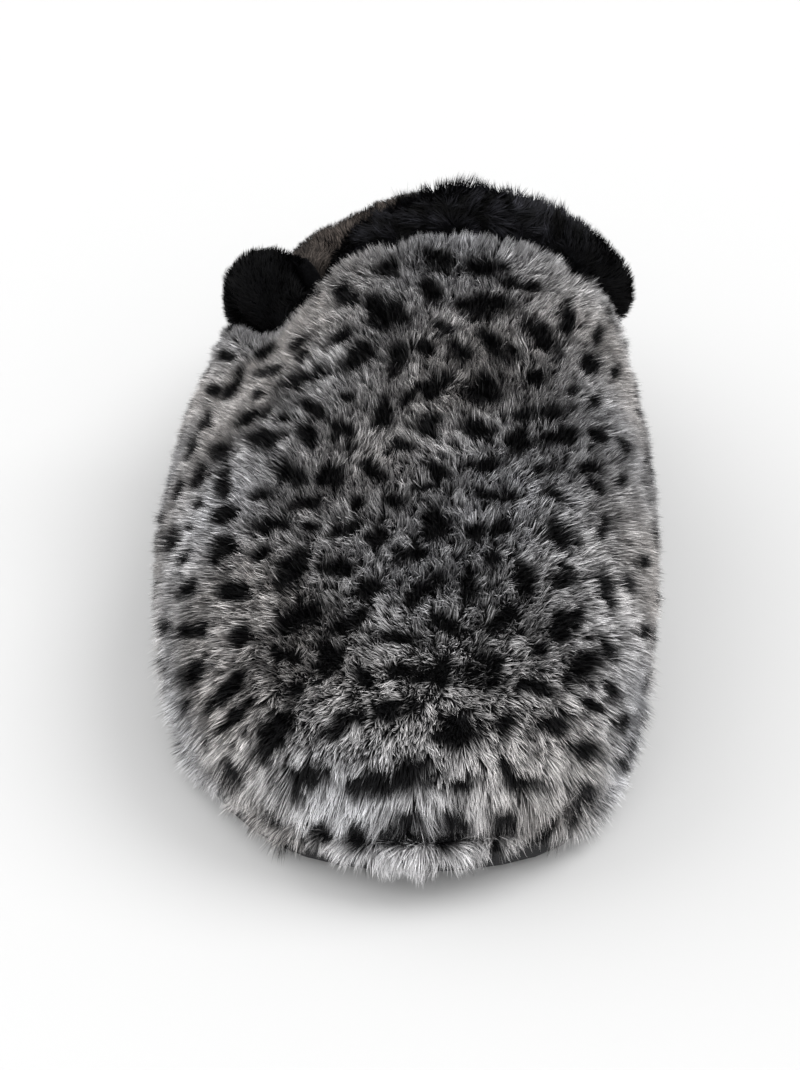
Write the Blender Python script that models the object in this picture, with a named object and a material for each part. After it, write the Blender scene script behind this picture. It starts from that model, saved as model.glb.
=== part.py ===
"""House slipper for a right foot: furry upper, padded collar, plush insole, furry midsole, rubber outsole.

Metres, +Z up. The toe points to -Y and the big-toe side is +X. The origin is on the floor, half-way
along the slipper. Lengths called along are measured from the toe's tip.
"""

from collections import namedtuple
from math import cos, pi, radians, sin

import bpy
import numpy as np

LENGTH = 0.268  # toe to heel, over the fur
BALL_WIDTH = 0.121  # the widest place, over the fur
INSTEP_HEIGHT = 0.093  # floor to the edge of the upper at the throat
HEEL_HEIGHT = 0.040  # floor to the edge of the upper at the heel
BULGE_HEIGHT = 0.030  # floor to the fullest line of the sides
TUCK = 0.0050  # how far the side pulls in below that line, to the seam with the sole

LINING = 0.0015
BACKING = 0.0025  # foam-backed knit that carries the fur
PILE = 0.0055  # fur, as it lies
WALL = LINING + BACKING + PILE
LOCK_LENGTH = 0.015
LOCK_WIDTH = 0.013
LOCK_OVERHANG = 0.003
LOCK_HOLLOW = 0.35  # how high the fur stands between two locks, as a share of the lock's height
PILE_STANDS = 0.85  # the share of the pile that the locks' relief takes up
LOCK_MARGIN = 0.35  # no row of locks starts nearer the top edge than this share of one
EDGE_FLAT = 0.35  # how far the pile is pressed in at the seams, as a share of it

COLLAR_RADIUS = 0.0120  # stuffed roll round the opening
COLLAR_STAND = 0.0105  # its middle beyond the edge of the upper
COLLAR_SET_IN = 0.0080  # and in from the upper's face
COLLAR_SKIRT = 0.009  # facing that goes down inside the upper
COLLAR_FACING = 0.35  # the facing's thickness, in COLLAR_RADIUS
ROLL_ARC = (-38, 208)  # the free part of the roll's section, in degrees from the upper's outward face

OUTSOLE = 0.004
MIDSOLE = 0.0090
INSOLE = 0.0055
INSOLE_CROWN = 0.0012
TOE_SPRING = 0.0040
TOE_SPRING_END = 0.22  # share of LENGTH, from the toe
HEEL_LIFT = 0.0020
HEEL_LIFT_START = 0.93
ARCH_RELIEF = 0.0012  # the outsole's waist, clear of the floor
ARCH_MIDDLE = 0.600  # shares of LENGTH
ARCH_REACH = 0.085
WAIST_REACH = 0.130
WAIST_INSET = 0.0040  # the sole's edge, pulled in under the arch
OUTSOLE_INSET = 0.0070  # from the fullest line of the sides
MIDSOLE_INSET = 0.0020
WRAP_RELIEF = 0.45  # depth of the locks on the midsole's fur strip, as a share of PILE
GROOVE_WIDTH = 0.0030
GROOVE_DEPTH = 0.0014
GROOVE_PITCH = 0.0120
TREADS = ((0.27, 0.47), (0.70, 0.90))  # where the forefoot's and the heel's grooves lie, in LENGTH
EDGE_ROUND = 0.0010
GAP = 0.0003  # between pieces that are sewn or glued together
COLLAR_GAP = 0.0006  # the same where the roll bends round the edge

COLUMNS = 104  # round the upper
SOLE_STATIONS = 34  # along the sole

# Each row is one line up the upper, from its fullest place to its top edge, in order round the slipper.
# along is in LENGTH, across in half of BALL_WIDTH, bulge in BULGE_HEIGHT.
# The top edge's height is top_instep of INSTEP_HEIGHT plus top_heel of HEEL_HEIGHT.
# rise and reach are how far the line keeps its direction at its two ends, in INSTEP_HEIGHT.
# slope is the line's steepness at the top edge, in degrees. roll is the collar there, in COLLAR_RADIUS.
Line = namedtuple(
    "Line", "along across bulge top_along top_across top_instep top_heel rise reach slope roll"
)
LINES = (
    Line(-0.004, 0.10, 0.72, 0.522, 0.25, 1.00, 0.00, 0.38, 0.66, 20, 1.00),
    Line(0.036, 0.66, 0.76, 0.520, 0.50, 0.98, 0.00, 0.38, 0.50, 17, 1.06),
    Line(0.130, 0.91, 0.84, 0.523, 0.73, 0.90, 0.00, 0.36, 0.34, 14, 1.10),
    Line(0.275, 1.01, 0.95, 0.536, 0.88, 0.77, 0.00, 0.30, 0.22, 30, 1.08),
    Line(0.440, 1.06, 1.00, 0.562, 0.94, 0.64, 0.00, 0.20, 0.12, 62, 1.04),
    Line(0.600, 1.00, 1.00, 0.640, 0.89, 0.38, 0.42, 0.12, 0.10, 72, 0.86),
    Line(0.780, 0.83, 0.95, 0.775, 0.75, 0.12, 0.82, 0.07, 0.06, 74, 0.80),
    Line(0.930, 0.60, 0.85, 0.912, 0.54, 0.00, 1.00, 0.05, 0.05, 74, 0.78),
    Line(1.000, 0.06, 0.80, 0.972, 0.06, 0.00, 1.00, 0.05, 0.05, 74, 0.80),
    Line(0.930, -0.48, 0.85, 0.912, -0.42, 0.00, 0.92, 0.05, 0.05, 74, 0.74),
    Line(0.780, -0.72, 0.95, 0.775, -0.65, 0.08, 0.82, 0.07, 0.06, 74, 0.76),
    Line(0.640, -0.87, 1.00, 0.655, -0.78, 0.30, 0.50, 0.12, 0.10, 70, 0.96),
    Line(0.520, -0.960, 1.00, 0.575, -0.73, 0.645, 0.00, 0.22, 0.12, 58, 1.06),
    Line(0.400, -0.985, 1.00, 0.545, -0.57, 0.66, 0.00, 0.26, 0.20, 30, 0.88),
    Line(0.255, -0.975, 0.95, 0.540, -0.42, 0.74, 0.00, 0.30, 0.30, 16, 0.74),
    Line(0.120, -0.81, 0.84, 0.535, -0.25, 0.90, 0.00, 0.36, 0.42, 15, 0.86),
    Line(0.027, -0.46, 0.76, 0.528, 0.00, 0.975, 0.00, 0.38, 0.58, 18, 0.96),
)

UPPER_GREY = (0.155, 0.148, 0.150)
PLUSH_BLACK = (0.012, 0.012, 0.014)
RUBBER_BLACK = (0.020, 0.020, 0.021)

# The upper's outer form: dense lines from the seam to the top edge, one for each column.
Form = namedtuple("Form", "lines lengths normals sizes")


def clear_scene():
    for old in list(bpy.data.objects):
        bpy.data.objects.remove(old)


def closed_curve(rows, knots, at):
    """Values at places along a smooth closed curve through rows, one row for each knot but the last."""
    span = knots[-1]
    ring = np.concatenate([rows[-2:], rows, rows[:3]])
    where = np.concatenate([knots[-3:-1] - span, knots[:-1], knots[:3] + span])
    step = np.diff(where)[:, None]
    rate = np.diff(ring, axis=0) / step
    lean = (rate[:-1] * step[1:] + rate[1:] * step[:-1]) / (step[:-1] + step[1:])
    k = np.clip(np.searchsorted(where, at, side="right") - 1, 1, len(where) - 3)
    size = step[k]
    t = (at - where[k])[:, None] / size
    return (
        ring[k] * (1 + 2 * t) * (1 - t) ** 2
        + ring[k + 1] * t**2 * (3 - 2 * t)
        + size * (lean[k - 1] * t * (1 - t) ** 2 - lean[k] * t**2 * (1 - t))
    )


def line_sizes():
    """One row of real sizes for each of LINES: the fullest point, the top point, rise, reach, slope, roll."""
    half = BALL_WIDTH / 2
    return np.array([
        (
            r.across * half, r.along * LENGTH, r.bulge * BULGE_HEIGHT + ground_lift(r.along * LENGTH),
            r.top_across * half, r.top_along * LENGTH,
            r.top_instep * INSTEP_HEIGHT + r.top_heel * HEEL_HEIGHT,
            r.rise * INSTEP_HEIGHT, r.reach * INSTEP_HEIGHT, radians(r.slope), r.roll * COLLAR_RADIUS,
        )
        for r in LINES
    ])


def ground_lift(along):
    """Height of the sole's underside over the floor: the toe spring and the heel's rounded back."""
    toe_end = TOE_SPRING_END * LENGTH
    heel_start = HEEL_LIFT_START * LENGTH
    toe = np.clip(1 - along / toe_end, 0, None) ** 2
    heel = np.clip((along - heel_start) / (LENGTH - heel_start), 0, None) ** 2
    return TOE_SPRING * toe + HEEL_LIFT * heel


def midsole_top(along):
    return ground_lift(along) + OUTSOLE + GAP + MIDSOLE


def around(count):
    """Sizes of count lines spaced evenly round the fullest line, and the way in from each, in plan."""
    rows = line_sizes()
    steps = np.linalg.norm(np.diff(np.vstack([rows, rows[:1]])[:, :2], axis=0), axis=1)
    knots = np.concatenate([[0], np.cumsum(steps)])
    fine = closed_curve(rows, knots, np.linspace(0, knots[-1], 1200, endpoint=False))
    run = np.linalg.norm(np.diff(np.vstack([fine, fine[:1]])[:, :2], axis=0), axis=1)
    far = np.concatenate([[0], np.cumsum(run)])
    even = np.interp(
        np.arange(count) / count * far[-1], far, np.linspace(0, knots[-1], len(far))
    )
    lines = closed_curve(rows, knots, even)
    ahead = np.roll(lines, -1, axis=0)[:, :2] - np.roll(lines, 1, axis=0)[:, :2]
    ahead /= np.linalg.norm(ahead, axis=1)[:, None]
    return lines, np.stack([-ahead[:, 1], ahead[:, 0]], 1)


def bezier(a, b, c, d, t):
    t = t[:, None]
    return a * (1 - t) ** 3 + 3 * b * t * (1 - t) ** 2 + 3 * c * t**2 * (1 - t) + d * t**3


def wall_line(row, inward):
    """Points up one line of the upper's outer form, from the seam to the top edge."""
    full = row[0:3]
    top = row[3:6]
    rise, reach, slope = row[6:9]
    into = np.array([inward[0], inward[1], 0.0])
    foot = full + into * TUCK
    foot[2] = midsole_top(foot[1]) + GAP
    drop = full[2] - foot[2]
    up = np.array([0.0, 0.0, 1.0])
    plan = (top - full) * (1, 1, 0)
    plan /= np.linalg.norm(plan)
    arrive = plan * cos(slope) + up * sin(slope)
    t = np.linspace(0, 1, 13)
    low = bezier(foot, foot - into * TUCK * 0.55 + up * drop * 0.25, full - up * drop * 0.5, full, t)
    t = np.linspace(0, 1, 61)
    high = bezier(full, full + up * rise, top - arrive * reach, top, t)
    return np.vstack([low[:-1], high])


def upper_lines(count):
    """The upper's outer form as count dense lines, each with its lengths and outward normals."""
    sizes, inward = around(count)
    lines = np.array([wall_line(row, way) for row, way in zip(sizes, inward)])
    lengths = np.concatenate(
        [np.zeros((count, 1)), np.cumsum(np.linalg.norm(np.diff(lines, axis=1), axis=2), axis=1)], axis=1
    )
    aside = np.roll(lines, -1, axis=0) - np.roll(lines, 1, axis=0)
    upward = np.gradient(lines, axis=1)
    normals = np.cross(aside, upward)
    level = np.clip(lengths / (2.5 * TUCK), 0, 1)[..., None]
    normals *= np.concatenate([np.ones_like(level), np.ones_like(level), level], axis=2)
    normals /= np.linalg.norm(normals, axis=2)[..., None]
    return Form(lines, lengths, normals, sizes)


def place(form, column, up):
    """The point and the normal on one line of a form, this far up it."""
    lengths = form.lengths[column]
    up = min(max(up, 0.0), lengths[-1])
    point = [np.interp(up, lengths, form.lines[column][:, k]) for k in range(3)]
    normal = np.array([np.interp(up, lengths, form.normals[column][:, k]) for k in range(3)])
    return np.array(point), normal / np.linalg.norm(normal)


def lock_rows(longest):
    """How far up, how tall and how far it hangs over, for each row of points on rows of locks."""
    rows = []
    strip = 0
    while strip * LOCK_LENGTH < longest:
        root = strip * LOCK_LENGTH
        if strip:
            rows.append((root, 1.0, LOCK_OVERHANG, strip))
        rows.append((root + 0.40 * LOCK_LENGTH, 0.62, 0.0, strip))
        rows.append((root + 0.88 * LOCK_LENGTH, 0.16, 0.0, strip))
        strip += 1
    return rows


def lock_swell(strip, share, width):
    """From 0 between two locks to 1 on the middle of one, at this share of the way along a strip."""
    count = max(round(width / LOCK_WIDTH), 3)
    offset = (strip * 0.5 + 0.17 * sin(strip * 2.4)) % 1
    return 0.5 - 0.5 * cos(2 * pi * (share * count + offset))


def mesh_object(name, points, faces, colour, roughness):
    mesh = bpy.data.meshes.new(name)
    points = np.asarray(points, float) - (0, LENGTH / 2, 0)
    mesh.from_pydata([tuple(p) for p in points], [], faces)
    mesh.validate()
    mesh.shade_smooth()
    mesh.set_sharp_from_angle(angle=radians(50))
    material = bpy.data.materials.new(name)
    material.use_nodes = True
    shader = material.node_tree.nodes["Principled BSDF"]
    shader.inputs["Base Color"].default_value = (*colour, 1)
    shader.inputs["Roughness"].default_value = roughness
    shader.inputs["Metallic"].default_value = 0.0
    mesh.materials.append(material)
    made = bpy.data.objects.new(name, mesh)
    bpy.context.collection.objects.link(made)
    return made


def ring_faces(grid):
    """Faces of a closed band from rows of point numbers. Points that repeat leave smaller faces."""
    faces = []
    for low, high in zip(grid[:-1], grid[1:]):
        for i, a in enumerate(low):
            j = (i + 1) % len(low)
            corners = []
            for corner in (a, low[j], high[j], high[i]):
                if corner not in corners:
                    corners.append(corner)
            if len(corners) > 2:
                faces.append(corners)
    return faces


def make_upper():
    form = upper_lines(COLUMNS)
    tops = form.lengths[:, -1]
    points = []
    grid = []

    def row_of(ups, depths):
        numbers = []
        for column in range(COLUMNS):
            point, normal = place(form, column, ups[column])
            numbers.append(len(points))
            points.append(point - normal * depths[column])
        return numbers

    flat = np.full(COLUMNS, EDGE_FLAT * PILE)
    foot_row = row_of(np.zeros(COLUMNS), flat)
    top_row = row_of(tops, flat)
    grid.append(foot_row)
    for up, tall, hang, strip in lock_rows(tops.max()):
        inside = up < tops - LOCK_MARGIN * LOCK_LENGTH
        middle = [place(form, column, up)[0] for column in range(COLUMNS)]
        width = np.linalg.norm(np.diff(middle + middle[:1], axis=0), axis=1).sum()
        swell = np.array([lock_swell(strip, c / COLUMNS, width) for c in range(COLUMNS)])
        height = tall * (LOCK_HOLLOW + (1 - LOCK_HOLLOW) * swell)
        row = row_of(up - hang * swell, PILE_STANDS * PILE * (1 - height))
        grid.append([r if free else t for r, t, free in zip(row, top_row, inside)])
    grid.append(top_row)
    inner = [row_of(tops, np.full(COLUMNS, WALL))]
    for share in np.linspace(1, 0, 6):
        inner.append(row_of((tops - COLLAR_SKIRT) * share, np.full(COLUMNS, WALL)))
    used = sorted({n for row in grid + inner for n in row})
    renumber = {old: new for new, old in enumerate(used)}
    rows = [[renumber[n] for n in row] for row in grid + inner + [foot_row]]
    return mesh_object("upper", [points[n] for n in used], ring_faces(rows), UPPER_GREY, 0.95)


def make_collar():
    """Stuffed roll along the upper's top edge, with a facing that goes down inside it."""
    form = upper_lines(COLUMNS)
    arc = np.radians(np.linspace(*ROLL_ARC, 11))
    sections = []
    for column in range(COLUMNS):
        edge, normal = place(form, column, form.lengths[column][-1])
        below, _ = place(form, column, form.lengths[column][-1] - 0.002)
        along = edge - below
        along -= normal * along.dot(normal)
        along /= np.linalg.norm(along)
        radius = form.sizes[column][9]
        scale = radius / COLLAR_RADIUS
        middle = edge + along * COLLAR_STAND * scale - normal * COLLAR_SET_IN
        roll = [middle + radius * (normal * cos(a) + along * sin(a)) for a in arc]
        low, low_normal = place(form, column, form.lengths[column][-1] - COLLAR_SKIRT)
        seat = low - low_normal * (WALL + COLLAR_GAP)
        skirt = seat - low_normal * COLLAR_FACING * COLLAR_RADIUS
        corner = edge - normal * (WALL + COLLAR_GAP) + along * COLLAR_GAP
        rest = edge - normal * 0.25 * WALL + along * COLLAR_GAP
        sections.append(roll + [skirt, seat, corner, rest])
    count = len(sections[0])
    points = [p for section in sections for p in section]
    rows = [[c * count + k for c in range(COLUMNS)] for k in range(count)]
    faces = ring_faces(rows + rows[:1])
    return mesh_object("collar", points, faces, PLUSH_BLACK, 0.90)


def sole_edges(inset, waist, stations):
    """Stations along the sole and the outline's two sides there, this far in from the fullest line."""
    lines, inward = around(720)
    edge = lines[:, :2] + inward * inset
    toe, heel = edge[:, 1].argmin(), edge[:, 1].argmax()
    medial = np.array([edge[i % 720] for i in range(toe, heel + 1 if heel > toe else heel + 721)])
    lateral = np.array([edge[i % 720] for i in range(heel, toe + 1 if toe > heel else toe + 721)])[::-1]
    first, last = edge[toe, 1], edge[heel, 1]
    share = (1 - np.cos(pi * (np.arange(stations) + 0.25) / (stations - 0.5))) / 2
    along = first + (last - first) * share
    pull = waist * np.exp(-(((along / LENGTH - ARCH_MIDDLE) / WAIST_REACH) ** 2))
    return (
        along,
        np.interp(along, lateral[:, 1], lateral[:, 0]) + 0.35 * pull,
        np.interp(along, medial[:, 1], medial[:, 0]) - pull,
    )


def loft_along(name, stations, colour, roughness):
    """A solid through closed sections of as many points each, with a cap at both ends."""
    count = len(stations[0])
    points = [p for section in stations for p in section]
    rows = [[k * count + i for i in range(count)] for k in range(len(stations))]
    faces = ring_faces(rows[::-1])
    faces.append(rows[0])
    faces.append(rows[-1][::-1])
    return mesh_object(name, points, faces, colour, roughness)


def groove_stations():
    """Along the sole: the corners of each groove across it, and how deep each corner is."""
    slant = 0.3 * GROOVE_WIDTH
    corners = []
    for first, last in TREADS:
        room = (last - first) * LENGTH
        count = int(room // GROOVE_PITCH)
        start = first * LENGTH + (room - count * GROOVE_PITCH) / 2
        for k in range(count + 1):
            middle = start + k * GROOVE_PITCH
            half = GROOVE_WIDTH / 2
            corners += [
                (middle - half - slant, 0.0), (middle - half, GROOVE_DEPTH),
                (middle + half, GROOVE_DEPTH), (middle + half + slant, 0.0),
            ]
    return corners


def make_outsole():
    along, left, right = sole_edges(OUTSOLE_INSET, WAIST_INSET, SOLE_STATIONS)
    cut = groove_stations()
    groove = dict(cut)
    spans = [(cut[k][0], cut[k + 3][0]) for k in range(0, len(cut), 4)]
    kept = [a for a in along if not any(lo - 0.001 < a < hi + 0.001 for lo, hi in spans)]
    sections = []
    for at in sorted(kept + list(groove)):
        lo, hi = np.interp(at, along, left), np.interp(at, along, right)
        lift = float(ground_lift(at))
        relief = ARCH_RELIEF * max(0.0, 1 - ((at / LENGTH - ARCH_MIDDLE) / ARCH_REACH) ** 2) ** 2
        base = lift + relief + groove.get(at, 0.0)
        top = lift + OUTSOLE
        r = min(EDGE_ROUND, 0.2 * (hi - lo))
        sections.append([
            (lo + r, at, base), (hi - r, at, base), (hi, at, base + r), (hi, at, top - r),
            (hi - r, at, top), (lo + r, at, top), (lo, at, top - r), (lo, at, base + r),
        ])
    return loft_along("outsole", sections, RUBBER_BLACK, 0.70)


def make_midsole():
    """Foam board with a strip of the fur wrapped round its edge."""
    along, left, right = sole_edges(MIDSOLE_INSET, 0.6 * WAIST_INSET, SOLE_STATIONS * 2)
    sections = []
    for k, (at, lo, hi) in enumerate(zip(along, left, right)):
        base = float(ground_lift(at)) + OUTSOLE + GAP
        room = 0.5 * (hi - lo)
        under = min(OUTSOLE_INSET - MIDSOLE_INSET, 0.5 * room)
        turn = min(0.45 * MIDSOLE, 0.6 * room)
        full = WRAP_RELIEF * PILE * (0.5 - 0.5 * cos(2 * pi * at * 2 / LOCK_WIDTH))
        side = ((under, 0.0), (full, 0.30), (0.25 * turn + full, 0.72), (turn, 1.0))
        right_side = [(hi - i, at, base + h * MIDSOLE) for i, h in side]
        left_side = [(lo + i, at, base + h * MIDSOLE) for i, h in side[::-1]]
        sections.append(right_side + left_side)
    return loft_along("midsole", sections, UPPER_GREY, 0.95)


def make_insole():
    """Plush-covered foam footbed, inside the upper's lower edge."""
    inset = TUCK + WALL + 2 * GAP
    along, left, right = sole_edges(inset, 0.0, SOLE_STATIONS)
    sections = []
    for at, lo, hi in zip(along, left, right):
        base = float(midsole_top(at)) + GAP
        middle, half = 0.5 * (lo + hi), 0.5 * (hi - lo)
        top = []
        for share in (1.0, 0.86, 0.45, -0.45, -0.86, -1.0):
            crown = INSOLE_CROWN * (1 - share**2)
            edge = EDGE_ROUND * 1.6 * (abs(share) == 1.0)
            top.append((middle + half * share, at, base + INSOLE - INSOLE_CROWN + crown - edge))
        sections.append([(lo, at, base), (hi, at, base)] + top)
    return loft_along("insole", sections, PLUSH_BLACK, 0.92)


clear_scene()
make_outsole()
make_midsole()
make_insole()
make_upper()
make_collar()
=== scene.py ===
"""Looks for a plush house slipper for a right foot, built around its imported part.

Metres, +Z up, toe to -Y, big toe to +X. The file follows the slipper as it is put together: the studio
that it stands in, then outsole, midsole with its fur strip, insole, lined fur upper and stuffed collar.
"""

from collections import namedtuple
from math import atan, cos, pi, radians, sin

import bmesh
import bpy
import numpy as np
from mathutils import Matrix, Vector
from mathutils.bvhtree import BVHTree
from mathutils.kdtree import KDTree


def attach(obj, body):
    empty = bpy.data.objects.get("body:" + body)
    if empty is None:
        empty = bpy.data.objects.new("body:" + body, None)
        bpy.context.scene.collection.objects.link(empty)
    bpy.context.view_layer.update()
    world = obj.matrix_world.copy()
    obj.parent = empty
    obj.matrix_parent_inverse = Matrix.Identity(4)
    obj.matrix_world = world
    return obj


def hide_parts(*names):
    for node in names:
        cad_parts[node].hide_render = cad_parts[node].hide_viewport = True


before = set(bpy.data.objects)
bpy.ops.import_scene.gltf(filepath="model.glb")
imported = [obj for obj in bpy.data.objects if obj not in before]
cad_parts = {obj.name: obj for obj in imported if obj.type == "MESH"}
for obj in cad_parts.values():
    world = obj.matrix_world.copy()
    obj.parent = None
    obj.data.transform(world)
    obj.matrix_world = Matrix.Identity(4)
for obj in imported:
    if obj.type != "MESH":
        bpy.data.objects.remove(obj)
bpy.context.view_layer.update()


# Studio: a pale table in a white room, with a large soft light high on the slipper's right and two weaker
# ones at the left and in front. The camera stands before the toe and looks down at 32 degrees, as in the photo.

PHOTO_WIDE, PHOTO_HIGH = 800, 1070
PHOTO_FOCAL = 2082  # the lens, in the photograph's pixels
CAMERA_RISE = radians(32)
CAMERA_FAR = 0.500
CAMERA_AIM = Vector((0.0, -0.044, 0.040))
AIM_DOWN = 521  # the photograph's row that this point lies on

tilt = CAMERA_RISE + atan((PHOTO_HIGH / 2 - AIM_DOWN) / PHOTO_FOCAL)
camera = bpy.data.objects.new("camera", bpy.data.cameras.new("camera"))
camera.location = CAMERA_AIM + Vector((0, -cos(CAMERA_RISE), sin(CAMERA_RISE))) * CAMERA_FAR
camera.rotation_euler = (pi / 2 - tilt, 0, 0)
camera.data.sensor_width = 36
camera.data.lens = 36 * PHOTO_FOCAL / PHOTO_HIGH
camera.data.clip_start = 0.01
bpy.context.collection.objects.link(camera)
bpy.context.scene.camera = camera


def photo_place(points):
    """Where points lie in the photograph: pixels across and down."""
    from_lens = points - np.array(camera.location)
    ahead = from_lens @ np.array((0, cos(tilt), -sin(tilt)))
    above = from_lens @ np.array((0, sin(tilt), cos(tilt)))
    return (
        PHOTO_WIDE / 2 + PHOTO_FOCAL * from_lens[:, 0] / ahead,
        PHOTO_HIGH / 2 - PHOTO_FOCAL * above / ahead,
    )


def linear(code):
    """An sRGB hex colour as linear red, green and blue."""
    values = [int(code[k:k + 2], 16) / 255 for k in (1, 3, 5)]
    return tuple(v / 12.92 if v <= 0.04045 else ((v + 0.055) / 1.055) ** 2.4 for v in values)


def soft_light(name, towards, spread, power):
    """A light as large in the slipper's sky as the angle spread, from this direction."""
    lamp = bpy.data.lights.new(name, "SUN")
    lamp.angle = radians(spread)
    lamp.energy = power
    made = bpy.data.objects.new(name, lamp)
    made.rotation_euler = Vector(towards).to_track_quat("Z", "Y").to_euler()
    bpy.context.collection.objects.link(made)


soft_light("key_softbox", (0.62, 0.10, 0.90), 40, 1.75)
soft_light("left_fill", (-0.85, 0.28, 0.60), 70, 1.45)
soft_light("front_fill", (0.00, -0.85, 0.60), 80, 1.7)

world = bpy.data.worlds.new("white_room")
world.use_nodes = True
world.node_tree.nodes["Background"].inputs["Color"].default_value = (1, 1, 1, 1)
world.node_tree.nodes["Background"].inputs["Strength"].default_value = 0.80
bpy.context.scene.world = world
bpy.context.scene.view_settings.view_transform = "Standard"


def material(name, colour, roughness, specular=0.5):
    """A material on Blender's own shader, and its node tree."""
    made = bpy.data.materials.new(name)
    made.use_nodes = True
    shader = made.node_tree.nodes["Principled BSDF"]
    shader.inputs["Base Color"].default_value = (*linear(colour), 1)
    shader.inputs["Roughness"].default_value = roughness
    shader.inputs["Specular IOR Level"].default_value = specular
    return made


def add_node(tree, kind, settings, links):
    """A node with its settings, and links into it: each an input's name and the output that feeds it."""
    made = tree.nodes.new(kind)
    for name, value in settings.items():
        if hasattr(made, name):
            setattr(made, name, value)
        else:
            made.inputs[name].default_value = value
    for name, source in links.items():
        tree.links.new(source, made.inputs[name])
    return made


def mesh_piece(name, points, faces, finish):
    """An object from arrays of points and of faces with as many corners each."""
    mesh = bpy.data.meshes.new(name)
    faces = np.asarray(faces)
    mesh.vertices.add(len(points))
    mesh.vertices.foreach_set("co", np.asarray(points, np.float32).ravel())
    mesh.loops.add(faces.size)
    mesh.loops.foreach_set("vertex_index", faces.astype(np.int32).ravel())
    mesh.polygons.add(len(faces))
    mesh.polygons.foreach_set("loop_start", np.arange(0, faces.size, faces.shape[1], dtype=np.int32))
    mesh.update(calc_edges=True)
    mesh.shade_smooth()
    mesh.materials.append(finish)
    made = bpy.data.objects.new(name, mesh)
    bpy.context.collection.objects.link(made)
    return made


TABLE_SIZE = 30.0
painted_table = material("painted_table", "#C4C4C4", 0.8, 0.1)
table = mesh_piece(
    "table",
    [(x * TABLE_SIZE, y * TABLE_SIZE, 0) for x, y in ((-1, -1), (1, -1), (1, 1), (-1, 1))],
    [(0, 1, 2, 3)], painted_table,
)


# Outsole: one thin sheet of black thermoplastic rubber, moulded with cross grooves, glued under the foam.
# It is matt, with a fine pebble from the mould that breaks up its gloss.

PEBBLE_WIDE = 0.0011

# Moulded rubber: nearly black and matt, a little glossier where dust has been rubbed off.
moulded_rubber = material("moulded_rubber", "#161618", 0.62, 0.45)
tree = moulded_rubber.node_tree
shader = tree.nodes["Principled BSDF"]
where = add_node(tree, "ShaderNodeTexCoord", {}, {}).outputs["Object"]
pebble = add_node(
    tree, "ShaderNodeTexVoronoi", {"feature": "SMOOTH_F1", "Scale": 1 / PEBBLE_WIDE}, {"Vector": where}
)
dust = add_node(tree, "ShaderNodeTexNoise", {"Scale": 90.0, "Detail": 4.0}, {"Vector": where})
worn = add_node(
    tree, "ShaderNodeMapRange", {"To Min": 0.52, "To Max": 0.76}, {"Value": dust.outputs["Fac"]}
)
relief = add_node(
    tree, "ShaderNodeBump", {"Strength": 0.5, "Distance": 0.0002}, {"Height": pebble.outputs["Distance"]}
)
tree.links.new(worn.outputs["Result"], shader.inputs["Roughness"])
tree.links.new(relief.outputs["Normal"], shader.inputs["Normal"])
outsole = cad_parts["outsole"]
outsole.data.materials.clear()
outsole.data.materials.append(moulded_rubber)


# Midsole: an EVA foam board, 9 mm thick, with a strip of the spotted fur glued round its edge.
# The fur's knitted backing covers the board, and its pile hangs out and down over the outsole's edge.

WRAP_PILE = 0.0062  # length of a strand on the strip
WRAP_STRANDS = 70000
COVERED = 0.004  # no fur where another piece lies less than this above
WRAP_INSET = 0.0016  # the backing lies this far in from the tips' general face
STRAND_WIDE = 0.00026  # drawn about six times as wide as a real fibre, because one stands for several
STRAND_CORNERS = ((0.1, 0.1), (0.9, 0.1), (0.5, 0.9))  # a strand's place in its own cell of the piece's map
FUR_TUFT = 50  # strands in a tuft of the fur
FUR_GATHER = 0.16  # how far a strand's tip is drawn to its tuft's tip
LEDGE_UP = 0.6  # faces that point up more than this are the strip's top ledge
LOWEST_TIP = 0.0012  # no pile hangs lower over the table


def welded(node):
    """A copy of a part's mesh with its shared corners joined."""
    mesh = bmesh.new()
    mesh.from_mesh(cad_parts[node].data)
    bmesh.ops.remove_doubles(mesh, verts=mesh.verts, dist=0.00002)
    mesh.normal_update()
    return mesh


def relax(mesh, rounds, held):
    """Evens out a mesh's relief, except where the test held is true of a vertex."""
    loose = [v for v in mesh.verts if not held(v)]
    for _ in range(rounds):
        bmesh.ops.smooth_vert(
            mesh, verts=loose, factor=0.5, use_axis_x=True, use_axis_y=True, use_axis_z=True
        )
    mesh.normal_update()


def arrays(mesh):
    """Points, normals and triangles of a mesh."""
    mesh.verts.ensure_lookup_table()
    mesh.verts.index_update()
    points = np.array([v.co for v in mesh.verts])
    normals = np.array([v.normal for v in mesh.verts])
    corners = [
        (f.verts[0].index, f.verts[k].index, f.verts[k + 1].index)
        for f in mesh.faces for k in range(1, len(f.verts) - 1)
    ]
    return points, normals, np.array(corners)


def scatter(points, normals, triangles, count, dice):
    """Places spread evenly over the triangles, with the surface's normals there."""
    a, b, c = (points[triangles[:, k]] for k in range(3))
    share = np.linalg.norm(np.cross(b - a, c - a), axis=1)
    chosen = np.searchsorted(np.cumsum(share) / share.sum(), np.sort(dice.random(count)))
    chosen = np.minimum(chosen, len(triangles) - 1)
    u, v = dice.random((2, count, 1))
    past = u + v > 1
    u, v = np.where(past, 1 - u, u), np.where(past, 1 - v, v)
    place = a[chosen] * (1 - u - v) + b[chosen] * u + c[chosen] * v
    na, nb, nc = (normals[triangles[chosen, k]] for k in range(3))
    return place, unit(na * (1 - u - v) + nb * u + nc * v)


def scatter_shuffled(points, normals, triangles, count, dice):
    """The same places in a random order, so that every fiftieth, say, can be the middle of a tuft."""
    place, normal = scatter(points, normals, triangles, count, dice)
    order = np.argsort(dice.random(count))
    return place[order], normal[order]


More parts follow.
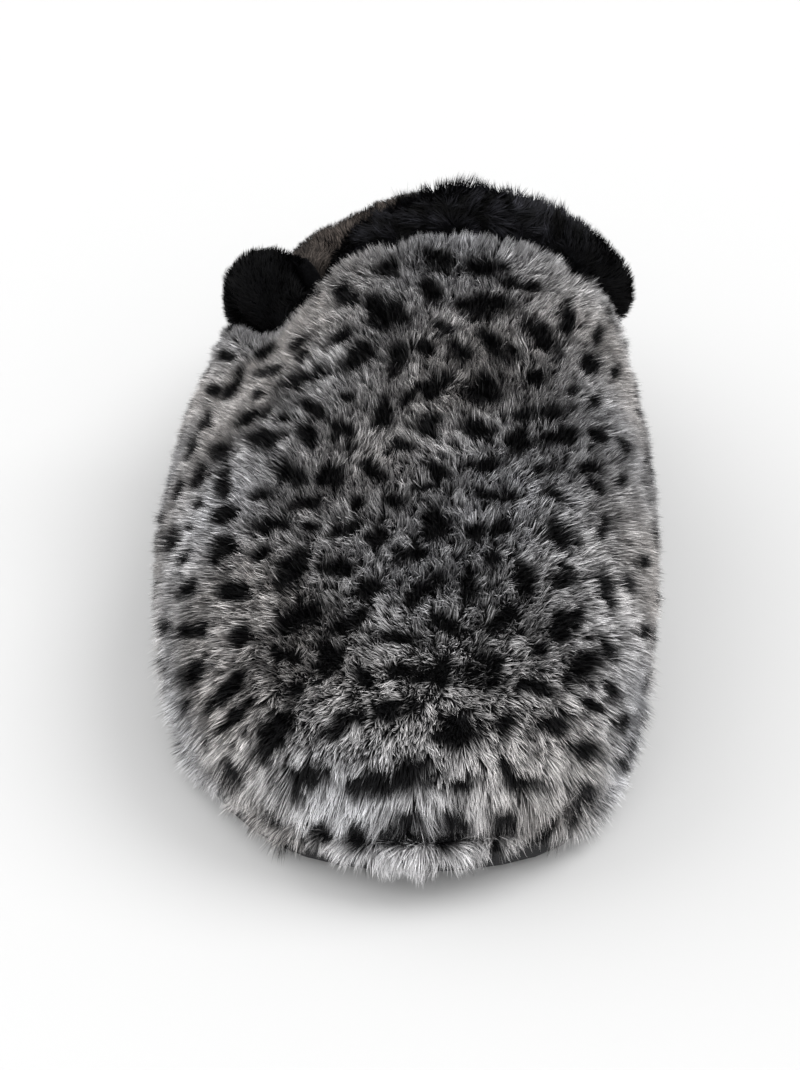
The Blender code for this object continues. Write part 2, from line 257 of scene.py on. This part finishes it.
def unit(rows):
    """Rows scaled to a length of one."""
    return rows / np.maximum(np.linalg.norm(rows, axis=1), 1e-9)[:, None]


def drift(points, width, seed):
    """Three soft fields over the points, each from about -1 to 1, that change over about this width."""
    dice = np.random.default_rng(seed)
    total = np.zeros((len(points), 3))
    for _ in range(10):
        way = dice.normal(size=3)
        way *= 2 * pi / width * dice.uniform(0.5, 1.3) / np.linalg.norm(way)
        total += np.sin((points @ way)[:, None] + dice.uniform(0, 2 * pi, 3))
    return total * 0.42


def nearest(centres, points):
    """The number of the nearest centre for each point."""
    tree = KDTree(len(centres))
    for k, centre in enumerate(centres):
        tree.insert(centre, k)
    tree.balance()
    return np.array([tree.find(point)[1] for point in points])


def distances(mesh, points):
    """How far each point is from a mesh."""
    near = BVHTree.FromBMesh(mesh).find_nearest
    return np.array([near(Vector(p))[3] for p in points])


def lay_strands(root, normal, flow, lean, length, tuft, gather, dice):
    """The tip of each strand. It leans along the nap, and is gathered with its neighbours' into a tuft."""
    flow = unit(flow - normal * (flow * normal).sum(axis=1)[:, None])
    aside = np.cross(normal, flow)
    centre = root[::tuft]
    which = nearest(centre, root)
    twist = dice.normal(0, 0.40, len(centre))[which] + dice.normal(0, 0.30, len(root))
    stoop = lean + dice.normal(0, 0.12, len(centre))[which] + dice.normal(0, 0.13, len(root))
    way = flow * np.cos(twist)[:, None] + aside * np.sin(twist)[:, None]
    length = length * (1 + dice.normal(0, 0.08, len(centre))[which] + dice.normal(0, 0.12, len(root)))
    tip = root + (normal * np.cos(stoop)[:, None] + way * np.sin(stoop)[:, None]) * length[:, None]
    return tip + (tip[::tuft][which] - tip) * gather


def strand_piece(name, root, tip, normal, wide, colours, finish):
    """Flat pointed strands as one mesh, each with a colour at its root and at its tip."""
    dice = np.random.default_rng(7)
    count = len(root)
    along = unit(tip - root)
    side = np.cross(along, unit(normal + dice.normal(0, 0.5, (count, 3))))
    side = unit(side) * (0.5 * wide)
    points = np.stack([root - side, root + side, tip], axis=1).reshape(-1, 3)
    made = mesh_piece(name, points, np.arange(3 * count).reshape(-1, 3), finish)
    shade = np.ones((count, 3, 4), np.float32)
    shade[:, 0:2, :3] = colours[0][:, None]
    shade[:, 2, :3] = colours[1]
    made.data.attributes.new("dye", "FLOAT_COLOR", "POINT").data.foreach_set("color", shade.ravel())
    face_way = np.cross(side, along)
    face_way *= np.sign((face_way * normal).sum(axis=1))[:, None]
    smooth = unit(unit(face_way) + normal * 0.8)
    made.data.normals_split_custom_set_from_vertices(np.repeat(smooth, 3, axis=0))
    across = int(np.ceil(np.sqrt(count)))
    cell = np.stack([np.arange(count) % across, np.arange(count) // across], axis=1)
    place = (cell[:, None] + np.array(STRAND_CORNERS)) / across
    made.data.uv_layers.new(name="OFBake").uv.foreach_set("vector", place.astype(np.float32).ravel())
    return made


def dyed_fibre(name, roughness, specular):
    """Fibre that takes its colour from the dye on each strand."""
    made = material(name, "#808080", roughness, specular)
    tree = made.node_tree
    shader = tree.nodes["Principled BSDF"]
    dye = add_node(tree, "ShaderNodeAttribute", {"attribute_name": "dye"}, {})
    tree.links.new(dye.outputs["Color"], shader.inputs["Base Color"])
    return made


# Spots of the print that show in the photograph: the middle's pixel, the size and the tilt in degrees.
Spot = namedtuple("Spot", "across down wide high tilt")
SPOTS = (
    Spot(388, 266, 24, 24, 0), Spot(344, 293, 26, 28, 0), Spot(385, 311, 44, 34, -30),
    Spot(338, 335, 30, 12, 40), Spot(357, 353, 52, 22, 38), Spot(396, 357, 26, 32, 0),
    Spot(265, 350, 26, 14, 35), Spot(299, 340, 30, 10, 35), Spot(300, 354, 18, 12, 30),
    Spot(296, 377, 54, 14, 25), Spot(267, 370, 32, 10, 20), Spot(222, 355, 18, 12, 0),
    Spot(238, 372, 16, 10, 60), Spot(212, 389, 18, 12, 0), Spot(230, 389, 28, 12, 45),
    Spot(255, 394, 16, 11, 50), Spot(249, 417, 38, 13, 20), Spot(282, 416, 22, 9, 10),
    Spot(203, 420, 22, 12, 45), Spot(260, 440, 30, 24, 20), Spot(217, 452, 24, 22, 20),
    Spot(190, 446, 30, 9, 70), Spot(315, 409, 38, 14, -40), Spot(341, 427, 30, 15, -30),
    Spot(305, 433, 28, 20, -30), Spot(380, 411, 26, 38, 0), Spot(345, 396, 22, 10, -20),
    Spot(354, 444, 18, 11, -15), Spot(402, 443, 28, 11, -15), Spot(410, 393, 36, 13, 40),
    Spot(437, 258, 30, 26, 0), Spot(430, 290, 24, 27, 0), Spot(480, 266, 42, 20, 0),
    Spot(505, 264, 16, 10, 0), Spot(522, 283, 50, 12, -10), Spot(487, 304, 64, 26, 0),
    Spot(569, 315, 36, 15, 85), Spot(446, 325, 26, 12, -20), Spot(425, 345, 22, 17, -40),
    Spot(461, 350, 28, 20, 0), Spot(500, 346, 48, 22, -35), Spot(544, 335, 46, 24, -40),
    Spot(592, 362, 24, 20, -30), Spot(600, 334, 28, 12, 75), Spot(618, 372, 18, 11, 80),
    Spot(536, 376, 38, 18, 10), Spot(435, 384, 42, 20, 30), Spot(483, 388, 36, 32, 0),
    Spot(575, 388, 14, 11, 0), Spot(543, 410, 62, 16, 5), Spot(595, 402, 20, 13, 40),
    Spot(424, 423, 40, 22, 10), Spot(475, 426, 42, 20, -10), Spot(557, 436, 52, 18, 10),
    Spot(520, 440, 36, 24, 0), Spot(600, 434, 24, 14, -40), Spot(628, 448, 24, 13, -60),
    Spot(198, 474, 30, 14, 65), Spot(220, 483, 30, 18, 80), Spot(176, 490, 24, 10, 75),
    Spot(285, 470, 38, 25, -35), Spot(328, 474, 28, 26, 40), Spot(260, 493, 28, 11, 10),
    Spot(305, 502, 38, 13, 10), Spot(372, 468, 32, 15, -35), Spot(196, 503, 13, 13, 0),
    Spot(358, 500, 16, 11, 0), Spot(398, 500, 22, 15, 0), Spot(220, 514, 32, 18, 35),
    Spot(267, 523, 36, 18, 0), Spot(310, 525, 22, 11, 0), Spot(345, 527, 36, 14, 15),
    Spot(375, 536, 28, 17, 15), Spot(188, 526, 12, 10, 0), Spot(168, 540, 28, 17, 60),
    Spot(262, 551, 38, 12, 30), Spot(219, 549, 34, 25, 40), Spot(180, 558, 20, 12, 55),
    Spot(290, 569, 52, 25, 58), Spot(341, 567, 36, 19, -5), Spot(404, 556, 30, 14, 30),
    Spot(185, 589, 28, 16, 45), Spot(232, 590, 34, 21, 5), Spot(366, 588, 36, 18, 15),
    Spot(298, 618, 62, 24, 28), Spot(348, 621, 56, 16, 30), Spot(192, 631, 38, 19, 10),
    Spot(237, 636, 26, 24, -20), Spot(158, 632, 26, 13, 80), Spot(287, 655, 40, 15, 0),
    Spot(397, 637, 48, 15, -5), Spot(330, 660, 36, 28, 45), Spot(190, 674, 36, 26, 50),
    Spot(395, 670, 28, 17, -10), Spot(360, 675, 34, 14, -50), Spot(408, 597, 20, 15, 70),
    Spot(488, 462, 42, 13, 5), Spot(437, 468, 34, 17, -20), Spot(423, 485, 26, 9, 10),
    Spot(548, 466, 24, 15, -10), Spot(590, 466, 22, 13, 0), Spot(598, 484, 26, 12, -45),
    Spot(625, 480, 26, 10, 85), Spot(497, 494, 54, 12, 0), Spot(558, 493, 36, 10, -25),
    Spot(434, 523, 32, 34, 0), Spot(490, 528, 54, 17, 12), Spot(563, 531, 44, 27, -20),
    Spot(607, 528, 28, 12, 80), Spot(493, 556, 18, 15, 0), Spot(414, 551, 38, 15, 8),
    Spot(527, 578, 23, 38, 0), Spot(567, 575, 27, 27, 0), Spot(425, 588, 52, 19, 35),
    Spot(472, 582, 23, 33, 0), Spot(609, 584, 60, 16, -75), Spot(632, 580, 30, 10, -75),
    Spot(448, 623, 44, 18, -30), Spot(502, 620, 42, 20, 25), Spot(574, 619, 46, 24, 20),
    Spot(562, 632, 22, 22, 0), Spot(540, 649, 16, 13, 0), Spot(614, 650, 32, 15, -70),
    Spot(437, 676, 34, 34, 0), Spot(487, 674, 40, 40, 0), Spot(583, 668, 44, 28, 35),
    Spot(224, 692, 60, 18, 48), Spot(182, 710, 22, 12, 65), Spot(232, 718, 54, 14, 42),
    Spot(295, 690, 24, 16, 20), Spot(393, 711, 48, 28, 15), Spot(338, 727, 58, 24, 30),
    Spot(270, 740, 64, 28, 58), Spot(203, 750, 16, 9, 85), Spot(230, 778, 38, 18, -60),
    Spot(308, 780, 42, 26, -10), Spot(296, 800, 28, 18, -60), Spot(385, 787, 100, 30, 10),
    Spot(412, 774, 46, 32, 10), Spot(265, 818, 48, 12, -42), Spot(317, 838, 26, 20, 60),
    Spot(353, 844, 32, 24, 50), Spot(392, 838, 36, 24, 40), Spot(412, 828, 38, 22, -20),
    Spot(536, 688, 36, 18, -15), Spot(462, 733, 46, 44, -40), Spot(438, 738, 20, 16, 0),
    Spot(508, 727, 25, 30, -30), Spot(558, 728, 42, 20, 10), Spot(616, 695, 28, 15, -70),
    Spot(596, 708, 36, 10, -30), Spot(626, 726, 28, 11, 80), Spot(589, 754, 36, 24, 0),
    Spot(625, 767, 15, 15, 0), Spot(464, 790, 38, 16, 15), Spot(527, 790, 50, 22, -20),
    Spot(507, 774, 22, 13, -60), Spot(583, 805, 42, 22, 38), Spot(453, 835, 40, 34, 50),
    Spot(503, 828, 36, 22, 20), Spot(545, 836, 28, 14, 42), Spot(498, 852, 22, 12, 80),
    Spot(574, 826, 18, 11, 60), Spot(648, 563, 14, 10, 90), Spot(648, 634, 16, 12, 90),
)

SPOT_GROWN = 1.12  # the spots' measured sizes leave out some of their soft edge
SPOT_SPACING = 0.0122 * 0.72**0.5  # nearest two spots on the sides that the photograph doesn't show
SPOT_HALF = 0.0044  # and half their mean size
SPOT_TRIES = 6000
FEATHER = 0.9  # width of a spot's soft edge, in the ellipse's own measure
SEEN = 0.08  # a face turned to the photograph's camera by more than this takes the charted spots
OFF = 9.0  # more than any spot's measure, so that it takes a spot away
ROOT_GREY = linear("#1D1C1E")
TIP_COOL = linear("#F2F2F5")
TIP_WARM = linear("#F5F1EF")
ROOT_BLACK = linear("#020203")
TIP_BLACK = linear("#0B0B0E")


def spotted(point, normal, dice):
    """How black the print is at each point, from 0 to 1, with a feathered edge round each spot."""
    lens = np.array(camera.location)
    facing = (unit(lens - point) * normal).sum(axis=1) > SEEN
    across, down = photo_place(point)
    ragged = 1 + 0.28 * drift(point, 0.006, 41)[:, 0] + dice.normal(0, 0.20, len(point))
    black = np.full(len(point), -OFF)
    for spot in SPOTS:
        turn = radians(spot.tilt)
        x, y = across - spot.across, spot.down - down
        a = (x * cos(turn) + y * sin(turn)) / (0.5 * spot.wide)
        b = (y * cos(turn) - x * sin(turn)) / (0.5 * spot.high)
        black = np.maximum(black, (ragged * SPOT_GROWN - a * a - b * b) / FEATHER - OFF * ~facing)
    pick = dice.permutation(len(point))[:SPOT_TRIES]
    centres = []
    for k in pick[~facing[pick]]:
        if all(np.sum((point[k] - point[c]) ** 2) > SPOT_SPACING**2 for c in centres):
            centres.append(k)
    centres = np.array(centres)
    which = nearest(point[centres], point)
    size = SPOT_HALF * dice.uniform(0.75, 1.3, (len(centres), 2))
    turn = unit(dice.normal(size=(len(centres), 3)))
    first = unit(np.cross(turn, normal[centres]))
    second = np.cross(normal[centres], first)
    off = point - point[centres][which]
    a = (off * first[which]).sum(axis=1) / size[which, 0]
    b = (off * second[which]).sum(axis=1) / size[which, 1]
    black = np.maximum(black, (ragged - a * a - b * b) / FEATHER - OFF * facing)
    return np.clip(0.5 + black, 0, 1)


def print_colours(root, tip, normal, dice):
    """The spotted print's colour at each strand's root and tip."""
    count = len(root)
    where = np.concatenate([root * 0.5 + tip * 0.5, root * 0.1 + tip * 0.9])
    black = spotted(where, np.concatenate([normal, normal]), dice)[:, None]
    low, high = black[:count], black[count:]
    tint = np.clip(np.exp(dice.normal(-0.08, 0.42, (count, 1))), 0.25, 1.5)
    light = tint * (1 + 0.10 * drift(root, 0.03, 43)[:, :1] + 0.15 * drift(root, 0.007, 44)[:, :1])
    warm = np.clip(0.5 + 0.4 * drift(root, 0.05, 45)[:, :1], 0, 1)
    grey = np.array(TIP_COOL) * (1 - warm) + np.array(TIP_WARM) * warm
    return (
        np.array(ROOT_GREY) * light * (1 - low) + np.array(ROOT_BLACK) * low,
        grey * light * (1 - high) + np.array(TIP_BLACK) * high,
    )


NAP = np.array((0.0, -1.0, -0.40))
HEEL_NAP = np.array((0.0, 0.0, -1.0))
NAP_TURNS = 0.080  # behind this the fur turns down towards the sole
NAP_TURNED = 0.030  # over this length
COWLICK = 0.32  # how far soft cowlicks turn it


def fur_flow(place):
    """The way the nap lies: towards the toe, down on steep sides and at the heel, with soft cowlicks."""
    heel = np.clip((place[:, 1:2] - NAP_TURNS) / NAP_TURNED, 0, 1)
    return NAP * (1 - heel) + HEEL_NAP * heel + drift(place, 0.024, 31) * COWLICK



# Faux fur: acrylic pile on a knit. Each fibre is dark at the root and frosted at the tip, with a soft
# satin gloss, so the pile looks deep and shows light tips over dark gaps.
acrylic_fur = dyed_fibre("acrylic_fur", 0.60, 0.20)


def mottle(finish, darker, lighter, wide, deep):
    """Gives a cloth a fine uneven colour and a nap of this width and depth."""
    tree = finish.node_tree
    shader = tree.nodes["Principled BSDF"]
    where = add_node(tree, "ShaderNodeTexCoord", {}, {}).outputs["Object"]
    nap = add_node(
        tree, "ShaderNodeTexNoise", {"Scale": 1 / wide, "Detail": 5.0, "Roughness": 0.7}, {"Vector": where}
    )
    ramp = add_node(tree, "ShaderNodeValToRGB", {}, {"Fac": nap.outputs["Fac"]})
    for stop, place, colour in zip(ramp.color_ramp.elements, (0.35, 0.70), (darker, lighter)):
        stop.position = place
        stop.color = (*linear(colour), 1)
    relief = add_node(
        tree, "ShaderNodeBump", {"Strength": 0.8, "Distance": deep}, {"Height": nap.outputs["Fac"]}
    )
    tree.links.new(ramp.outputs["Color"], shader.inputs["Base Color"])
    tree.links.new(relief.outputs["Normal"], shader.inputs["Normal"])


# Knit under the fur: dark, matt and fuzzy, seen only deep between the strands.
fur_backing = material("knitted_fur_backing", "#141416", 0.9, 0.2)
mottle(fur_backing, "#060607", "#161617", 0.0012, 0.0004)

mesh = welded("midsole")
relax(mesh, 4, lambda v: abs(v.normal.z) > 0.9)
points, normals, triangles = arrays(mesh)
side = np.clip(1 - np.abs(normals[:, 2]), 0, 1)[:, None]
board = mesh_piece("midsole_board", points - normals * side * WRAP_INSET, triangles, fur_backing)
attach(board, "root")
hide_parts("midsole")

dice = np.random.default_rng(11)
face_up = np.cross(
    points[triangles[:, 1]] - points[triangles[:, 0]], points[triangles[:, 2]] - points[triangles[:, 0]]
)
face_up = unit(face_up)[:, 2]
edge = triangles[face_up > -0.75]
root, normal = scatter(points, normals, edge, WRAP_STRANDS * 5, dice)
covers = [BVHTree.FromBMesh(welded(name)) for name in ("upper", "insole")]
bare = [
    n[2] < LEDGE_UP or all(c.ray_cast(Vector(p), Vector((0, 0, 1)), COVERED)[0] is None for c in covers)
    for p, n in zip(root, normal)
]
kept = dice.permutation(np.flatnonzero(bare))[:WRAP_STRANDS]
root, normal = root[kept], normal[kept]
root -= normal * WRAP_INSET
to_upper, to_ground = distances(welded("upper"), root), distances(welded("outsole"), root)
up_strip = to_ground / (to_ground + to_upper + 0.0001)
flow = fur_flow(root) * (1, 0.4, 1)
flow[:, 2] += 1.8 * up_strip - 1.1
tip = lay_strands(root, normal, flow, 0.62, WRAP_PILE, FUR_TUFT, FUR_GATHER, dice)
tip[:, 2] = np.maximum(tip[:, 2], LOWEST_TIP)
wrap = strand_piece(
    "midsole_fur_strip", root, tip, normal, STRAND_WIDE,
    print_colours(root, tip, normal, dice), acrylic_fur,
)
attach(wrap, "root")


# Insole: soft foam under short black plush, slightly dished where a foot has pressed it.
# The plush is dense and matt, and its short nap lies towards the toe.

INSOLE_PRESSED = 0.0010
PLUSH_NAP = 0.0022  # length of the insole's and the lining's pile
INSOLE_STRANDS = 50000
PLUSH_TUFT = 60
PLUSH_GATHER = 0.14
PLUSH_ROOT = "#010102"
PLUSH_TIP = "#050506"

# Black plush: a velvety polyester that returns almost no light. Its own pile lies over it as strands.
black_plush = material("black_plush", "#0B0B0D", 0.95, 0.05)
mottle(black_plush, "#040405", "#111113", 0.0016, 0.0006)
black_pile = dyed_fibre("black_plush_pile", 0.65, 0.10)


def plush(name, root, normal, flow, length, dice, warm=0.0):
    """Short black plush over a surface, as its own piece."""
    tip = lay_strands(root, normal, flow, 0.70, length, PLUSH_TUFT, PLUSH_GATHER, dice)
    tint = np.exp(dice.normal(-0.1, 0.5, (len(root), 1)))
    # warm, where given, is painted light and painted sheen added to the pile's colour, fully at the tips and
    # less at the roots.
    colours = [(np.array(linear(c)) + k * warm) * tint for c, k in ((PLUSH_ROOT, 0.3), (PLUSH_TIP, 1.0))]
    made = strand_piece(name, root, tip, normal, STRAND_WIDE, colours, black_pile)
    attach(made, "root")


mesh = welded("insole")
bmesh.ops.subdivide_edges(mesh, edges=mesh.edges[:], cuts=1, use_grid_fill=True)
relax(mesh, 2, lambda v: v.normal.z < 0.2)
points, normals, triangles = arrays(mesh)
lying = normals[:, 2] > 0.7
worn = np.exp(-((points[:, 0] / 0.025) ** 2)) * np.exp(-(((np.abs(points[:, 1]) - 0.07) / 0.035) ** 2))
points[:, 2] -= np.where(lying, INSOLE_PRESSED * worn, 0)
footbed = mesh_piece("insole_pad", points, triangles, black_plush)
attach(footbed, "root")
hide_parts("insole")

dice = np.random.default_rng(13)
top = triangles[lying[triangles].all(axis=1)]
root, normal = scatter_shuffled(points, normals, top, INSOLE_STRANDS, dice)
flow = drift(root, 0.02, 52) * 0.5 + np.array((0, -1.0, 0))
plush("insole_pile", root, normal, flow, np.full(len(root), PLUSH_NAP), dice)


# Upper: spotted faux fur on a foam-backed knit, lined with black plush, sewn closed at the back.
# The pile is 6 mm long and stands in soft tufts. It lies towards the toe, and down on the sides.

UPPER_PILE = 0.0056
UPPER_STRANDS = 588000
LINING_STRANDS = 60000
ROOT_DEPTH = 0.0014  # the knit lies this far under the fur locks' mean face
SEAM_HELD = 0.0045  # the upper keeps its own shape this near the midsole
RIM_HELD = 0.0012  # and this near the collar
HEM_HIGH = 0.010  # the fur grows longer and hangs down over the seam with the midsole
RIM_WIDE = 0.009  # and shorter beside the collar

mesh = welded("upper")
ring = BVHTree.FromBMesh(welded("collar"))
board_top = BVHTree.FromBMesh(welded("midsole"))
relax(mesh, 12, lambda v: board_top.find_nearest(v.co)[3] < SEAM_HELD or ring.find_nearest(v.co)[3] < RIM_HELD)
points, normals, triangles = arrays(mesh)
walls = BVHTree.FromPolygons([tuple(p) for p in points], triangles.tolist())
outward = np.array([
    walls.ray_cast(Vector(p) + Vector(n) * 0.0015, Vector(n), 0.3)[0] is None
    for p, n in zip(points, normals)
])
outside = triangles[outward[triangles].sum(axis=1) >= 2]
inside = triangles[outward[triangles].sum(axis=1) < 2]
skin = mesh_piece("upper_knit", points - normals * ROOT_DEPTH * outward[:, None], triangles, fur_backing)
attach(skin, "root")
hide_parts("upper")

dice = np.random.default_rng(21)
root, normal = scatter_shuffled(points, normals, outside, UPPER_STRANDS, dice)
root -= normal * ROOT_DEPTH
flow = fur_flow(root)
steep = 1 - np.clip(normal[:, 2], 0, 1)
toe = np.clip((-0.085 - root[:, 1]) / 0.03, 0, 1)
hem = np.clip(1.2 - distances(welded("midsole"), root) / HEM_HIGH, 0, 1)
flow[:, 2] -= 1.5 * hem
under = np.clip(-normal[:, 2], 0, 1)
rim = np.clip(1 - distances(welded("collar"), root) / RIM_WIDE, 0, 1)
lean = 0.36 + 0.14 * steep - 0.10 * toe + 0.20 * hem + 0.15 * rim
length = UPPER_PILE * (0.86 + 0.14 * steep - 0.12 * toe + 0.80 * hem - 0.28 * rim - 0.3 * under)
tip = lay_strands(root, normal, flow, lean, length, FUR_TUFT, FUR_GATHER, dice)
colours = print_colours(root, tip, normal, dice)
thirds = np.argsort(np.argsort(root[:, 1])) * 3 // len(root)
for k, name in enumerate(("upper_fur_toe", "upper_fur_instep", "upper_fur_quarters")):
    part = thirds == k
    fur = strand_piece(
        name, root[part], tip[part], normal[part], STRAND_WIDE,
        [c[part] for c in colours], acrylic_fur,
    )
    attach(fur, "root")

dice = np.random.default_rng(23)
root, normal = scatter_shuffled(points, normals, inside, LINING_STRANDS, dice)
flow = drift(root, 0.02, 53) * 0.5 + np.array((0, -1.0, 0))
plush("upper_lining_pile", root, normal, flow, np.full(len(root), PLUSH_NAP), dice)


# Collar: a roll of black plush stuffed with soft wadding, sewn round the opening and turned down inside.
# Its pile is long and tousled over the instep, and short and flat on the sides and at the heel.

COLLAR_STRANDS = 140000
COLLAR_PILE = 0.0026
COLLAR_IN = 0.0014  # the plush's backing, in from the tips of its pile
BAND_IN = 0.0016  # further in on the band over the instep, whose pile is longer
LUMPS_WIDE, LUMPS_HIGH = 0.024, 0.0005  # the wadding's unevenness
HEEL_PAINTED_LIGHT = "#776D66"  # painted light: the heel's part of the pile is painted warm grey where it faces forward and up, for light from behind
# painted sheen: lighter grey streaks painted onto the pile on the band's top
BAND_PAINTED_SHEEN = "#2C2C31"

mesh = welded("collar")
bmesh.ops.subdivide_edges(mesh, edges=mesh.edges[:], cuts=1, use_grid_fill=True)
relax(mesh, 3, lambda v: False)
points, normals, triangles = arrays(mesh)
lumps = LUMPS_HIGH * drift(points, LUMPS_WIDE, 61)[:, :1]
points -= normals * (COLLAR_IN + BAND_IN * np.clip((points[:, 2:] - 0.075) / 0.015, 0, 1) + lumps)
roll = mesh_piece("collar_roll", points, triangles, black_plush)
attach(roll, "root")
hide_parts("collar")

dice = np.random.default_rng(31)
root, normal = scatter_shuffled(points, normals, triangles, COLLAR_STRANDS, dice)
flow = drift(root, 0.02, 51) * 0.5 + np.array((0, 0.1, 0.5))
band = np.clip((root[:, 2] - 0.080) / 0.012, 0, 1)
length = COLLAR_PILE * (1 + band * (0.5 + 0.35 * drift(root, 0.004, 62)[:, 0]))
# Painted sheen: soft lighter streaks painted over the band's top, added to the pile's colour below.
painted_sheen_streak = 0.5 + 0.5 * drift(root, 0.0035, 63)[:, 0]
# Painted light: the heel's part of the collar, where its pile faces forward and up, is painted warm grey.
heel_painted_lit = np.clip((root[:, 1] - 0.035) / 0.03, 0, 1) * np.clip(normal @ (0, -0.9, 0.45), 0, 1)
warm = heel_painted_lit[:, None] * np.array(linear(HEEL_PAINTED_LIGHT)) + (band * painted_sheen_streak)[:, None] * np.array(linear(BAND_PAINTED_SHEEN))
plush("collar_pile", root, normal, flow, length, dice, warm)
